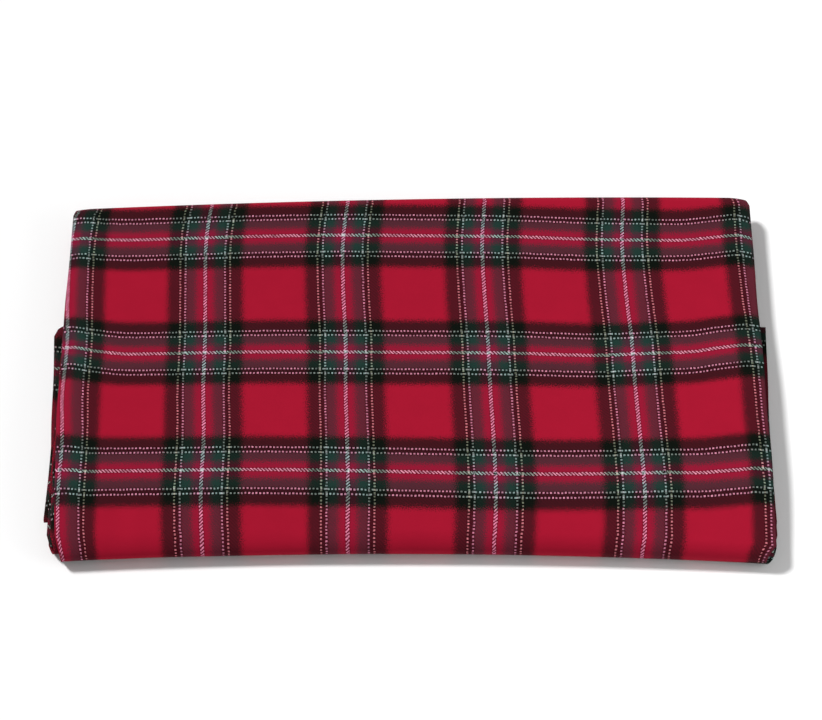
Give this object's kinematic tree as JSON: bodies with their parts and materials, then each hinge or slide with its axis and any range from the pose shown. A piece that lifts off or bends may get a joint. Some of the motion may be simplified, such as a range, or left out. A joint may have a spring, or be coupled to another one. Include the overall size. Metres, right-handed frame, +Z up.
{
  "type": "folded tartan flannel fabric",
  "caption": "Length of brushed cotton tartan flannel, folded back and forth into a flat rectangular pack with round front folds.",
  "frame": {"origin": "middle of the pack's footprint, on the surface that it lies on", "axes": "+Z up from the surface, +X along the long folds to the right, -Y towards the round front fold"},
  "size_m": [0.3802, 0.2218, 0.0206],
  "materials": {
    "flannel": "brushed twill, matt, woven tartan in red, green, black, white and yellow"
  },
  "bodies": {
    "root": {"folded_cloth": "flannel"}
  },
  "joints": []
}
